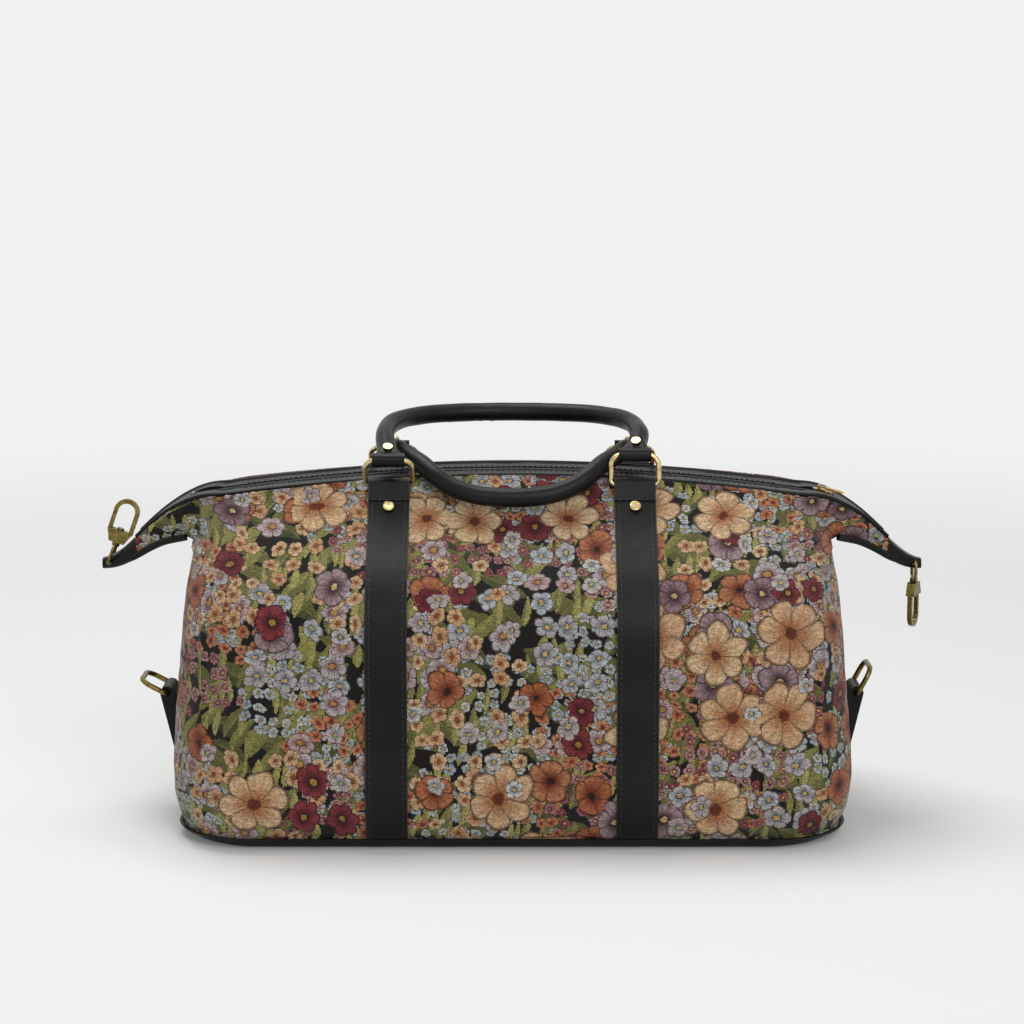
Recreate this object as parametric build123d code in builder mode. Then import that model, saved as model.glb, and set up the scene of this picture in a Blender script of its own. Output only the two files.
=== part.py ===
from build123d import *
import os
from math import asin, cos, radians, sin, tan

os.makedirs("parts", exist_ok=True)

# Weekend carpet bag, in millimetres: +X along the bag to its right, -Y to its front, +Z up,
# with the origin on the floor under the middle of the base.

# Body form
body_length = 513.0        # end to end at the belly, low down
belly_depth = 254.0        # front to back at the belly
belly_height = 62.0        # where the panels stand out furthest
base_depth = 216.0         # depth of the flat base
shoulder_depth = 230.0     # where the panels turn in towards the zip
shoulder_height = 188.0
roof_low_depth = 156.0     # two places down the sloping roof
roof_low_height = 225.0
roof_high_depth = 107.0
roof_high_height = 250.0
top_height = 268.5         # crown of the zip line at the middle
top_droop = 18.5           # how much lower the zip line lies at the ends of the body
gusset_width = 66.0        # leather and zip between the two tapestry panels
end_lean = 17.0            # how far each end leans in from belly to zip
plan_corner = 60.0         # corner of the body seen from above
panel_wall = 3.0           # tapestry, interlining and lining together
base_height = 8.0          # leather base turned up round the bottom
end_seam = 228.0           # where front and back panels meet the end panels
end_panel_top = 214.0
base_board_thickness = 2.5

# Clearances
seat_gap = 0.3             # soft piece against what carries it
pin_gap = 0.07             # turning metal pin in its bore

# End wings, folded flat and closed
wing_start = 215.0
wing_tip = 315.0
wing_corner = 4.0
tip_seam = 292.0           # where the leather tip starts on the top edge
tip_tunnel_x = 310.0
tip_tunnel_z = 195.8
tip_tunnel_radius = 2.0

# Straps and the rings that carry the handles
strap_spacing = 184.0
strap_width = 31.0
strap_thickness = 2.5
loop_setback = 8.0         # strap loop below the level of the zip line, along the roof
loop_hole_radius = 2.3
loop_outer_radius = 4.3
loop_tail = 13.0           # folded end of the strap, sewn down below the loop
ring_wire = 4.0
ring_inner_width = 32.0    # standard D-ring for a 32 mm strap
ring_rise = 22.0           # bar axis to the middle of the curved top
ring_corner = 9.0
ring_foot_corner = 3.5
strap_rivet_diameter = 9.0
strap_rivet_drop = 19.0    # rivet below the loop, along the roof

# Handles
handle_diameter = 14.6
collar_width = 24.5
collar_radius = 5.6
collar_hole_radius = 3.95
chape_thickness = 9.0
chape_length = 14.0
chape_rivet_diameter = 7.0
chape_rivet_place = 8.7    # rivet's middle beyond the top of the ring
front_ring_tilt_right = 8.0
front_ring_tilt_left = -28.0
rear_ring_tilt = -40.0

# Zip
zip_width = 18.0
teeth_width = 4.6
teeth_groove = 0.8         # slot that the slider's neck runs in
zip_half_length = 243.0
slider_x = 236.5
slider_length = 12.0
slider_width = 9.0
slider_plate = 1.4
puller_length = 19.0
puller_width = 6.0
puller_droop = 7.0         # degrees below the zip line

# Side tabs and rings
tab_width = 30.0
tab_bottom = 36.0
tab_loop_height = 95.0
tab_loop_reach = 9.5       # loop axis outside the belly
tab_loop_radius = 5.5
side_ring_lift_left = 28.0
side_ring_lift_right = 62.0

# Snap hooks
eye_wire = 2.6
eye_inner_width = 17.0
eye_reach = 14.0
hook_width = 20.0
hook_wire = 3.4
hook_loop_height = 25.0
hook_block_height = 10.0
hook_block_foot = 12.0     # width of the block at the swivel
hook_block_thickness = 6.5
hook_start = 16.0          # block above the eye's bar
swivel_stem_radius = 1.6
swivel_head_radius = 2.6
swivel_head_height = 1.3
gate_pin_radius = 0.8
left_hook_lean = 20.0
right_hook_turn = 65.0

half_length = body_length / 2
half_base = base_depth / 2
half_belly = belly_depth / 2
half_shoulder = shoulder_depth / 2
half_gusset = gusset_width / 2
half_zip = zip_width / 2
half_teeth = teeth_width / 2
strap_x = strap_spacing / 2
handle_radius = handle_diameter / 2
wire_radius = ring_wire / 2
arch_reach = half_length - end_lean
arch_radius = (arch_reach**2 + top_droop**2) / (2 * top_droop)


def zip_height(x, rise=0.0):
    """Height of the arched zip line at a distance x from the middle."""
    return top_height - arch_radius + ((arch_radius + rise) ** 2 - x**2) ** 0.5


def plan_section(height, end_in, depth, corner, grow):
    """Plan of the body at one height: rounded corners, ends that lean in."""
    with BuildSketch(Plane.XY.offset(height)) as section:
        RectangleRounded(2 * (half_length - end_in + grow), 2 * (depth + grow), corner + grow)
    return section.sketch


def wing_section(x, low, high, half_width):
    """Section of an end wing across the bag."""
    with BuildSketch(Plane.YZ.offset(x)) as section:
        with Locations((0, (low + high) / 2)):
            RectangleRounded(2 * half_width, high - low, wing_corner)
    return section.sketch


# height, how far the ends stand in from the belly, half depth, corner radius
plan_stations = (
    (0, end_lean - 1, half_base, plan_corner - 6),
    (10, 7, half_belly - 8, plan_corner - 2),
    (belly_height, 0, half_belly, plan_corner),
    (130, 5, half_belly - 2, plan_corner),
    (shoulder_height, end_lean - 6, half_shoulder, plan_corner),
    (roof_low_height, end_lean - 2, roof_low_depth / 2, plan_corner - 4),
    (roof_high_height, end_lean, roof_high_depth / 2, plan_corner - 16),
    (top_height + 3, end_lean + 2, half_gusset - 1, half_gusset - 6),
)
# distance along the bag, underside, top and half width of the wing
wing_stations = (
    (wing_start, 204, 250, 38),
    (243, 218, 249.5, half_gusset),
    (264, 213.5, 238, 27),
    (288, 200, 217, 17),
    (306, 191.5, 202, 8.2),
    (wing_tip, 190.5, 199, 6.3),
)


def body_form(grow):
    """Body without its wings, grown or shrunk for walls and clearances."""
    floor = max(0, -grow)
    with BuildPart() as form:
        loft([plan_section(*station, grow) for station in plan_stations])
        with BuildSketch(Plane.XZ):
            with BuildLine():
                ThreePointArc(
                    (-wing_tip, zip_height(wing_tip, grow)),
                    (0, top_height + grow),
                    (wing_tip, zip_height(wing_tip, grow)),
                )
                Polyline(
                    (wing_tip, zip_height(wing_tip, grow)),
                    (wing_tip, floor),
                    (-wing_tip, floor),
                    (-wing_tip, zip_height(wing_tip, grow)),
                )
            make_face()
        extrude(amount=half_belly + 10, both=True, mode=Mode.INTERSECT)
    return form.part


def side_outline(points, low_y, high_y):
    """Prism with an outline seen from the front, from one depth to another."""
    with BuildPart() as zone:
        with BuildSketch(Plane.XZ.offset(-high_y)):
            with BuildLine():
                Polyline(points, close=True)
            make_face()
        extrude(amount=high_y - low_y)
    return zone.part


def block(low, high):
    """Box between two corners."""
    with BuildPart() as box:
        with BuildSketch(Plane.XY.offset(low[2])):
            with Locations(((low[0] + high[0]) / 2, (low[1] + high[1]) / 2)):
                Rectangle(high[0] - low[0], high[1] - low[1])
        extrude(amount=high[2] - low[2])
    return box.part


# Shell of the bag, then the zones that it is divided into along its seams

inner_form = body_form(-panel_wall)

with BuildPart() as shell:
    add(body_form(0))
    for side in (-1, 1):
        loft([wing_section(side * x, low, high, wide) for x, low, high, wide in wing_stations])
    add(inner_form, mode=Mode.SUBTRACT)

seat_form = body_form(seat_gap)
with BuildPart() as leather_skin:
    add(body_form(seat_gap + strap_thickness))
    add(seat_form, mode=Mode.SUBTRACT)

reach = wing_tip + 15
front_zone = block((-reach, -half_belly - 5, -1), (reach, 0, 300))
rear_zone = block((-reach, 0, -1), (reach, half_belly + 5, 300))
left_zone = block((-reach, -half_belly - 5, -1), (0, half_belly + 5, 300))
right_zone = block((0, -half_belly - 5, -1), (reach, half_belly + 5, 300))
base_zone = block((-reach, -half_belly - 5, -1), (reach, half_belly + 5, base_height))
zip_slot = block((-zip_half_length - 3, -half_zip, 220), (zip_half_length + 3, half_zip, 290))

# a line that runs above the lining over the body and halfway up the wings
wing_middle = [(212, 243), (243, 236), (264, 228), (288, 211), (306, 198), (reach, 182), (reach, 290)]
above_wings = side_outline(
    wing_middle + [(-x, z) for x, z in reversed(wing_middle)], -half_belly, half_belly
)

# the gusset narrows along the wings
gusset_quarter = [(215, half_gusset), (243, 29), (264, 22), (288, 13), (reach, 8)]
gusset_right = gusset_quarter + [(x, -y) for x, y in reversed(gusset_quarter)]
with BuildPart() as gusset_zone:
    with BuildSketch(Plane.XY.offset(180)):
        with BuildLine():
            Polyline(gusset_right + [(-x, -y) for x, y in gusset_right], close=True)
        make_face()
    extrude(amount=110)
    add(above_wings, mode=Mode.INTERSECT)

tip_outline = [(tip_seam, 240), (reach, 240), (reach, 170), (tip_seam - 12, 170)]
with BuildPart() as tip_zone:
    for side in (-1, 1):
        add(side_outline([(side * x, z) for x, z in tip_outline], -half_belly, half_belly))

with BuildPart() as end_zone:
    for side in (-1, 1):
        with BuildSketch(Plane.XY.offset(base_height)):
            with Locations((side * (end_seam + 17), 0)):
                Rectangle(34, 2 * half_belly + 10)
    extrude(amount=end_panel_top - base_height)


# Tapestry and leather panels of the shell

with BuildPart() as tapestry:
    add(shell.part)
    add(base_zone, mode=Mode.SUBTRACT)
    add(end_zone.part, mode=Mode.SUBTRACT)
    add(tip_zone.part, mode=Mode.SUBTRACT)
    add(gusset_zone.part, mode=Mode.SUBTRACT)

with BuildPart() as front_panel:
    add(tapestry.part)
    add(front_zone, mode=Mode.INTERSECT)

with BuildPart() as back_panel:
    add(tapestry.part)
    add(rear_zone, mode=Mode.INTERSECT)

with BuildPart() as end_panels:
    add(shell.part)
    add(end_zone.part, mode=Mode.INTERSECT)

with BuildPart() as left_end_panel:
    add(end_panels.part)
    add(left_zone, mode=Mode.INTERSECT)

with BuildPart() as right_end_panel:
    add(end_panels.part)
    add(right_zone, mode=Mode.INTERSECT)

with BuildPart() as base_panel:
    add(shell.part)
    add(base_zone, mode=Mode.INTERSECT)

with BuildPart() as gusset:
    add(shell.part)
    add(gusset_zone.part, mode=Mode.INTERSECT)
    add(tip_zone.part, mode=Mode.SUBTRACT)
    add(zip_slot, mode=Mode.SUBTRACT)

with BuildPart() as zip_gusset_front:
    add(gusset.part)
    add(front_zone, mode=Mode.INTERSECT)

with BuildPart() as zip_gusset_rear:
    add(gusset.part)
    add(rear_zone, mode=Mode.INTERSECT)

with BuildPart() as wing_tips:
    add(shell.part)
    add(tip_zone.part, mode=Mode.INTERSECT)
    with BuildSketch(Plane.XZ):
        with Locations((tip_tunnel_x, tip_tunnel_z), (-tip_tunnel_x, tip_tunnel_z)):
            Circle(tip_tunnel_radius)
    extrude(amount=half_gusset, both=True, mode=Mode.SUBTRACT)

with BuildPart() as wing_tip_left:
    add(wing_tips.part)
    add(left_zone, mode=Mode.INTERSECT)

with BuildPart() as wing_tip_right:
    add(wing_tips.part)
    add(right_zone, mode=Mode.INTERSECT)

with BuildPart() as base_board:
    with BuildSketch(Plane.XY.offset(panel_wall)):
        RectangleRounded(2 * (half_length - 24), 2 * (half_base - 14), plan_corner - 20)
    extrude(amount=base_board_thickness)

with BuildPart() as base_welt:
    add(leather_skin.part)
    add(block((-reach, -reach, base_height - 1.5), (reach, reach, base_height + 1.5)), mode=Mode.INTERSECT)

# Zip: two tapes, two rows of teeth, end stops, slider and puller

def zip_band(low, high, near_y, far_y, half_span):
    """Strip that follows the arch of the zip line, between two heights above it."""
    with BuildPart() as band:
        with BuildSketch(Plane.XZ.offset(-far_y)):
            with BuildLine():
                ThreePointArc(
                    (-half_span, zip_height(half_span, high)),
                    (0, top_height + high),
                    (half_span, zip_height(half_span, high)),
                )
                Line((half_span, zip_height(half_span, high)), (half_span, zip_height(half_span, low)))
                ThreePointArc(
                    (half_span, zip_height(half_span, low)),
                    (0, top_height + low),
                    (-half_span, zip_height(half_span, low)),
                )
                Line((-half_span, zip_height(half_span, low)), (-half_span, zip_height(half_span, high)))
            make_face()
        extrude(amount=far_y - near_y)
    return band.part


with BuildPart() as zip_tape_rear:
    add(zip_band(-2.3, -1.1, half_teeth, half_zip, zip_half_length + 3))

with BuildPart() as zip_tape_front:
    add(mirror(zip_tape_rear.part, about=Plane.XZ))

with BuildPart() as zip_teeth_rear:
    add(zip_band(-2.8, 0.2, teeth_groove / 2, half_teeth, zip_half_length))

with BuildPart() as zip_teeth_front:
    add(mirror(zip_teeth_rear.part, about=Plane.XZ))

slider_tilt = asin(slider_x / arch_radius)
slider_frame = Plane(
    origin=(slider_x, 0, zip_height(slider_x)),
    x_dir=(cos(slider_tilt), 0, -sin(slider_tilt)),
    z_dir=(sin(slider_tilt), 0, cos(slider_tilt)),
)
slider_top = 0.2 + seat_gap + slider_plate
bail_height = slider_top + 1.8
bail_setback = 1.0
slider_side = Plane(origin=slider_frame.origin, x_dir=slider_frame.x_dir, z_dir=(0, -1, 0))
with BuildPart() as zip_slider:
    for plate_floor in (0.2 + seat_gap, -2.8 - seat_gap - slider_plate):
        with BuildSketch(slider_frame.offset(plate_floor)):
            with BuildLine():
                FilletPolyline(
                    (-slider_length / 2, 0),
                    (-slider_length / 2, 2.6),
                    (slider_length / 2 - 3, slider_width / 2),
                    (slider_length / 2, slider_width / 2 - 1),
                    (slider_length / 2, 0),
                    radius=[1, 1.5, 0.8],
                )
                Line((slider_length / 2, 0), (-slider_length / 2, 0))
            make_face()
            mirror(about=Plane.XZ)
        extrude(amount=slider_plate)
    with BuildSketch(slider_frame.offset(-2.8 - seat_gap)):
        RectangleRounded(5, teeth_groove - 0.4, 0.15)
    extrude(amount=3 + 2 * seat_gap)
    # bail that holds the puller
    with BuildSketch(slider_frame.offset(slider_top - 0.2)):
        with Locations((-bail_setback, 2.7), (-bail_setback, -2.7)):
            RectangleRounded(2.4, 1.4, 0.4)
    extrude(amount=3.0)
    with BuildSketch(slider_side):
        with Locations((-bail_setback, bail_height)):
            Circle(0.7)
    extrude(amount=2.7, both=True)

puller_tilt = slider_tilt + radians(puller_droop)
puller_frame = Plane(
    origin=slider_frame.from_local_coords((-bail_setback, 0, bail_height)),
    x_dir=(cos(puller_tilt), 0, -sin(puller_tilt)),
    z_dir=(sin(puller_tilt), 0, cos(puller_tilt)),
)
puller_side = Plane(origin=puller_frame.origin, x_dir=puller_frame.x_dir, z_dir=(0, -1, 0))
with BuildPart() as zip_puller:
    with BuildSketch(puller_frame.offset(-0.7)):
        with Locations((3, 0)):
            Rectangle(5, 3.2)
        with Locations(((puller_length + 4) / 2, 0)):
            RectangleRounded(puller_length - 4, puller_width, 2.4)
        with Locations((puller_length - 4.5, 0)):
            Circle(1.3, mode=Mode.SUBTRACT)
    extrude(amount=1.4)
    with BuildSketch(puller_side):
        Circle(1.6)
    extrude(amount=1.6, both=True)
    with BuildSketch(puller_side):
        Circle(0.7 + pin_gap)
    extrude(amount=1.7, both=True, mode=Mode.SUBTRACT)

with BuildPart() as zip_stops:
    for side in (-1, 1):
        stop_x = side * (zip_half_length + 1.2)
        with BuildSketch(Plane.XY.offset(zip_height(stop_x) - 2.8)):
            with Locations((stop_x, 0)):
                RectangleRounded(2, teeth_width - 0.6, 0.5)
        extrude(amount=3.4)


# Straps: a band up each panel that turns over the bar of its ring and is riveted down

roof_down = Vector(
    0, (roof_high_depth - roof_low_depth) / 2, roof_low_height - roof_high_height
).normalized()
roof_out = Vector(0, roof_down.Z, -roof_down.Y)


def on_roof(x, along, above):
    """Place on the front roof: down the slope from the zip line's level, and above it."""
    level = zip_height(x)
    fall = (level - roof_high_height) / roof_down.Z
    edge = Vector(x, -roof_high_depth / 2, roof_high_height) + roof_down * fall
    return edge + roof_down * along + roof_out * above


loop_rise = seat_gap + loop_outer_radius
rivet_rise = seat_gap + strap_thickness


def strap(x):
    """Front strap on one side, with its teardrop loop."""
    pivot = on_roof(x, loop_setback, loop_rise)
    inner, outer = (on_roof(x, loop_setback, rise) for rise in (-8, 16))
    with BuildPart() as band:
        add(leather_skin.part)
        with BuildSketch(Plane.YZ.offset(x)):
            with BuildLine():
                Polyline(
                    (inner.Y, inner.Z),
                    (outer.Y, outer.Z),
                    (-half_belly - 20, outer.Z),
                    (-half_belly - 20, base_height + 2),
                    (inner.Y, base_height + 2),
                    close=True,
                )
            make_face()
        extrude(amount=strap_width / 2, both=True, mode=Mode.INTERSECT)
        across = Plane(origin=pivot, x_dir=roof_down, z_dir=(-1, 0, 0))
        with BuildSketch(across):
            Circle(loop_outer_radius)
            with Locations((loop_tail, strap_thickness - loop_outer_radius - 0.2)):
                Circle(1.2)
            make_hull()
        extrude(amount=strap_width / 2, both=True)
        add(seat_form, mode=Mode.SUBTRACT)
        with BuildSketch(across):
            Circle(loop_hole_radius)
        extrude(amount=strap_width, both=True, mode=Mode.SUBTRACT)
    return band.part


with BuildPart() as strap_front_right:
    add(strap(strap_x))

with BuildPart() as strap_front_left:
    add(mirror(strap_front_right.part, about=Plane.YZ))

with BuildPart() as strap_rear_right:
    add(mirror(strap_front_right.part, about=Plane.XZ))

with BuildPart() as strap_rear_left:
    add(mirror(strap_front_left.part, about=Plane.XZ))

with BuildPart() as strap_rivets:
    seat = Plane(
        origin=on_roof(strap_x, loop_setback + strap_rivet_drop, rivet_rise), z_dir=roof_out
    )
    with BuildSketch(seat):
        Circle(strap_rivet_diameter / 2)
    extrude(amount=1.5)
    fillet(edges().group_by(SortBy.LENGTH)[-1].sort_by(Axis((0, 0, 0), tuple(roof_out)))[-1], 1.2)
    mirror(about=Plane.YZ)
    mirror(about=Plane.XZ)


# Rings: a straight bar in the strap loop, sides, and a rounded top in the handle's collar

def wire_ring(frame, half_width, rise, foot_corner, top_corner, radius):
    """Closed ring of round wire, its bar along the frame's X and its top along its Y."""
    with BuildPart() as ring:
        with BuildLine(frame) as half:
            FilletPolyline(
                (0, 0), (half_width, 0), (half_width, rise), (0, rise), radius=[foot_corner, top_corner]
            )
        with BuildSketch(Plane(origin=half.line @ 0, z_dir=half.line % 0)):
            Circle(radius)
        sweep()
        mirror(about=Plane(origin=frame.origin, z_dir=frame.x_dir))
    return ring.part


def ring_frame(pivot, tilt):
    """Frame of a handle ring that leans back by an angle in degrees."""
    return Plane(origin=pivot, x_dir=(1, 0, 0), z_dir=(0, -cos(radians(tilt)), sin(radians(tilt))))


ring_half_width = ring_inner_width / 2 + wire_radius
front_pivot = on_roof(strap_x, loop_setback, loop_rise)
rear_pivot = Vector(front_pivot.X, -front_pivot.Y, front_pivot.Z)
left = Vector(-2 * strap_x, 0, 0)
handle_ring_frames = {
    "handle_ring_front_right": ring_frame(front_pivot, front_ring_tilt_right),
    "handle_ring_front_left": ring_frame(front_pivot + left, front_ring_tilt_left),
    "handle_ring_rear_right": ring_frame(rear_pivot, rear_ring_tilt),
    "handle_ring_rear_left": ring_frame(rear_pivot + left, rear_ring_tilt),
}
handle_rings = {
    name: wire_ring(frame, ring_half_width, ring_rise, ring_foot_corner, ring_corner, wire_radius)
    for name, frame in handle_ring_frames.items()
}


# Handles: rolled leather, flattened to a chape that wraps the top of each ring

def gentle_radii(points):
    """Largest arc for each corner of a route, from its shorter run and its turn."""
    runs = [Vector(*far) - Vector(*near) for near, far in zip(points, points[1:])]
    return [
        0.45 * min(before.length, after.length) / tan(radians(before.get_angle(after)) / 2)
        for before, after in zip(runs, runs[1:])
    ]


def handle(roots, half_route, middle):
    """Rolled handle between two rings: right half of its route, mirrored, and its chapes."""
    route = half_route + [middle] + [(-x, y, z) for x, y, z in reversed(half_route)]
    starts = []
    for root, neighbour in zip(roots, (route[0], route[-1])):
        starts.append((root, (Vector(*neighbour) - root).normalized()))
    ends = [tuple(root + away * chape_length) for root, away in starts]
    points = [ends[0]] + route + [ends[1]]
    with BuildPart() as rolled:
        with BuildLine() as line:
            FilletPolyline(points, radius=gentle_radii(points))
        with BuildSketch(Plane(origin=line.line @ 0, z_dir=line.line % 0)):
            Circle(handle_radius)
        sweep()
        for root, away in starts:
            sideways = (Vector(1, 0, 0) - away * away.X).normalized()
            flat = Plane(origin=root, x_dir=sideways, z_dir=away)
            with BuildSketch(flat):
                RectangleRounded(collar_width, chape_thickness, chape_thickness / 2 - 0.6)
            with BuildSketch(flat.offset(chape_length)):
                RectangleRounded(handle_diameter, handle_diameter, handle_radius - 0.1)
            loft()
            with BuildSketch(Plane.YZ.offset(root.X)):
                with Locations((root.Y, root.Z)):
                    Circle(collar_radius)
            extrude(amount=collar_width / 2, both=True)
            with BuildSketch(Plane.YZ.offset(root.X)):
                with Locations((root.Y, root.Z)):
                    Circle(collar_hole_radius)
            extrude(amount=collar_width, both=True, mode=Mode.SUBTRACT)
    return rolled.part


def ring_top(name):
    """Middle of a ring's top, where its handle turns."""
    return handle_ring_frames[name].from_local_coords(Vector(0, ring_rise, 0))


# the front handle leans back over the top, its grip above the rear rings
front_route = [(97, -18, 297), (93.5, 8, 301.5), (84, 26, 303.6), (64, 46, 304.4), (30, 59, 304.4)]
with BuildPart() as handle_front:
    add(
        handle(
            [ring_top("handle_ring_front_right"), ring_top("handle_ring_front_left")],
            front_route,
            (0, 61, 304.2),
        )
    )

# the rear handle has flopped forward through it and lies on the front roof
rear_route = [
    (88.5, 4, 283.5),
    (83, -14, 282.8),
    (76.5, -26, 280.5),
    (67.5, -37, 277),
    (58.5, -48.5, 270.5),
    (47.3, -54.2, 263),
    (29.2, -60.1, 257),
]
with BuildPart() as handle_rear:
    add(
        handle(
            [ring_top("handle_ring_rear_right"), ring_top("handle_ring_rear_left")],
            rear_route,
            (0, -62.8, 254.6),
        )
    )


# Side tabs and their rings

side_pivot = Vector(half_length + tab_loop_reach, 0, tab_loop_height)
with BuildPart() as side_tab_right:
    with BuildSketch(Plane.XZ):
        with Locations((side_pivot.X, side_pivot.Z)):
            Circle(tab_loop_radius)
        with Locations((half_length - 0.4, tab_bottom)):
            Circle(1.7)
        make_hull()
    extrude(amount=tab_width / 2, both=True)
    add(seat_form, mode=Mode.SUBTRACT)
    with BuildSketch(Plane.XZ):
        with Locations((side_pivot.X, side_pivot.Z)):
            Circle(loop_hole_radius)
    extrude(amount=tab_width, both=True, mode=Mode.SUBTRACT)

with BuildPart() as side_tab_left:
    add(mirror(side_tab_right.part, about=Plane.YZ))

lift_right = radians(side_ring_lift_right)
lift_left = radians(side_ring_lift_left)
side_ring_frame_right = Plane(
    origin=side_pivot, x_dir=(0, 1, 0), z_dir=(sin(lift_right), 0, -cos(lift_right))
)
side_ring_frame_left = Plane(
    origin=(-side_pivot.X, 0, side_pivot.Z), x_dir=(0, 1, 0), z_dir=(sin(lift_left), 0, cos(lift_left))
)
side_rings = {
    name: wire_ring(frame, ring_half_width, ring_rise, ring_foot_corner, ring_corner, wire_radius)
    for name, frame in (
        ("side_ring_right", side_ring_frame_right),
        ("side_ring_left", side_ring_frame_left),
    )
}


# Snap hooks on the wing tips: eye with its swivel stem, hook, sprung gate and its pin

block_top = hook_start + hook_block_height
hook_top = block_top + hook_loop_height
gate_u = hook_width / 2 - hook_wire / 2
gate_pivot_u = gate_u - 0.7
gate_pivot_w = block_top - 2
gate_top = block_top + hook_loop_height - hook_width / 2 - 1


def snap_eye(frame):
    """Wire eye through the wing tip, with the stem and head that hold the hook."""
    eye_frame = Plane(origin=frame.origin, x_dir=(0, 1, 0), z_dir=Vector(0, 1, 0).cross(frame.y_dir))
    half_width = (eye_inner_width + eye_wire) / 2
    with BuildPart() as eye:
        add(wire_ring(eye_frame, half_width, eye_reach, 2.6, 5, eye_wire / 2))
        for start, end, radius in (
            (eye_reach - 0.8, hook_start - seat_gap, 3.0),
            (eye_reach, block_top + seat_gap + swivel_head_height, swivel_stem_radius),
            (block_top + seat_gap, block_top + seat_gap + swivel_head_height, swivel_head_radius),
        ):
            with BuildSketch(Plane(origin=frame.from_local_coords(Vector(0, start, 0)), z_dir=frame.y_dir)):
                Circle(radius)
            extrude(amount=end - start)
    return eye.part


def snap_hook(frame):
    """Block with its bore and gate slot, and the open oval of the hook."""
    half = hook_width / 2
    with BuildPart() as hook:
        with BuildSketch(frame):
            with BuildLine():
                FilletPolyline(
                    (-hook_block_foot / 2, hook_start),
                    (hook_block_foot / 2, hook_start),
                    (half, block_top),
                    (-half, block_top),
                    radius=[1.5, 1.5, 0.6, 0.6],
                    close=True,
                )
            make_face()
        extrude(amount=hook_block_thickness / 2, both=True)
        with BuildSketch(frame):
            with Locations((0, block_top - 2 + (hook_loop_height + 2) / 2)):
                RectangleRounded(hook_width, hook_loop_height + 2, 1)
            with Locations((0, hook_top - half)):
                Rectangle(hook_width, hook_width / 2 + 1, align=(Align.CENTER, Align.MIN), mode=Mode.SUBTRACT)
                Circle(half)
                Circle(half - hook_wire, mode=Mode.SUBTRACT)
            with Locations((0, block_top)):
                Rectangle(
                    hook_width - 2 * hook_wire,
                    hook_loop_height - half,
                    align=(Align.CENTER, Align.MIN),
                    mode=Mode.SUBTRACT,
                )
            # opening that the gate closes
            with Locations((half + 1, block_top)):
                Rectangle(
                    hook_wire + 1,
                    gate_top + seat_gap - block_top,
                    align=(Align.MAX, Align.MIN),
                    mode=Mode.SUBTRACT,
                )
        extrude(amount=hook_wire / 2, both=True)
        with BuildSketch(Plane(origin=frame.from_local_coords(Vector(0, hook_start - 1, 0)), z_dir=frame.y_dir)):
            Circle(swivel_stem_radius + pin_gap)
        extrude(amount=hook_block_height + 2, mode=Mode.SUBTRACT)
        # slot for the gate's tongue
        with BuildSketch(frame):
            with Locations((half + 1, gate_pivot_w - 2.4)):
                Rectangle(half + 1 - 4.2, 6, align=(Align.MAX, Align.MIN))
        extrude(amount=1.3, both=True, mode=Mode.SUBTRACT)
        with BuildSketch(frame):
            with Locations((gate_pivot_u, gate_pivot_w)):
                Circle(gate_pin_radius)
        extrude(amount=hook_block_thickness, both=True, mode=Mode.SUBTRACT)
    return hook.part


def snap_gate(frame):
    """Sprung gate: a tongue round the pin and a limb that closes the oval."""
    with BuildPart() as gate:
        with BuildSketch(frame):
            with Locations((gate_pivot_u, gate_pivot_w)):
                Circle(2)
            with Locations((gate_u, block_top + 1.8)):
                Rectangle(hook_wire - 0.4, 1)
            make_hull()
        extrude(amount=1.1, both=True)
        with BuildSketch(frame):
            with Locations((gate_u, (block_top + 1.2 + gate_top) / 2)):
                RectangleRounded(hook_wire - 0.2, gate_top - block_top - 1.2, 0.8)
        extrude(amount=hook_wire / 2 - 0.1, both=True)
        with BuildSketch(frame):
            with Locations((gate_pivot_u, gate_pivot_w)):
                Circle(gate_pin_radius + pin_gap)
        extrude(amount=hook_block_thickness, both=True, mode=Mode.SUBTRACT)
    return gate.part


def snap_gate_pin(frame):
    """Pin across the block that the gate turns on."""
    with BuildPart() as pin:
        with BuildSketch(frame):
            with Locations((gate_pivot_u, gate_pivot_w)):
                Circle(gate_pin_radius)
        extrude(amount=hook_block_thickness / 2, both=True)
    return pin.part


# the left hook leans on its wing and shows its full width; the right one hangs, turned
lean = radians(left_hook_lean)
turn = radians(right_hook_turn)
snap_frame_left = Plane(
    origin=(-tip_tunnel_x, 0, tip_tunnel_z),
    x_dir=(-cos(lean), 0, sin(lean)),
    z_dir=Vector(-cos(lean), 0, sin(lean)).cross(Vector(sin(lean), 0, cos(lean))),
)
snap_frame_right = Plane(
    origin=(tip_tunnel_x, 0, tip_tunnel_z),
    x_dir=(cos(turn), sin(turn), 0),
    z_dir=Vector(cos(turn), sin(turn), 0).cross(Vector(0, 0, -1)),
)
snap_pieces = {
    f"{make.__name__}_{side}": make(frame)
    for side, frame in (("left", snap_frame_left), ("right", snap_frame_right))
    for make in (snap_eye, snap_hook, snap_gate, snap_gate_pin)
}


# Rivets through the chapes, their domes on the upper side

def chape_rivets(roots, targets):
    """Dome on each chape of a handle, square to its sloping face."""
    slope = (handle_radius - chape_thickness / 2) / chape_length
    with BuildPart() as domes:
        for root, target in zip(roots, targets):
            away = (Vector(*target) - root).normalized()
            upward = (Vector(0, 0, 1) - away * away.Z).normalized()
            outward = (upward - away * slope).normalized()
            face = root + away * chape_rivet_place + upward * (chape_thickness / 2 + chape_rivet_place * slope)
            with BuildSketch(Plane(origin=face + outward * seat_gap, z_dir=outward)):
                Circle(chape_rivet_diameter / 2)
            extrude(amount=1.2)
    return domes.part


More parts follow.
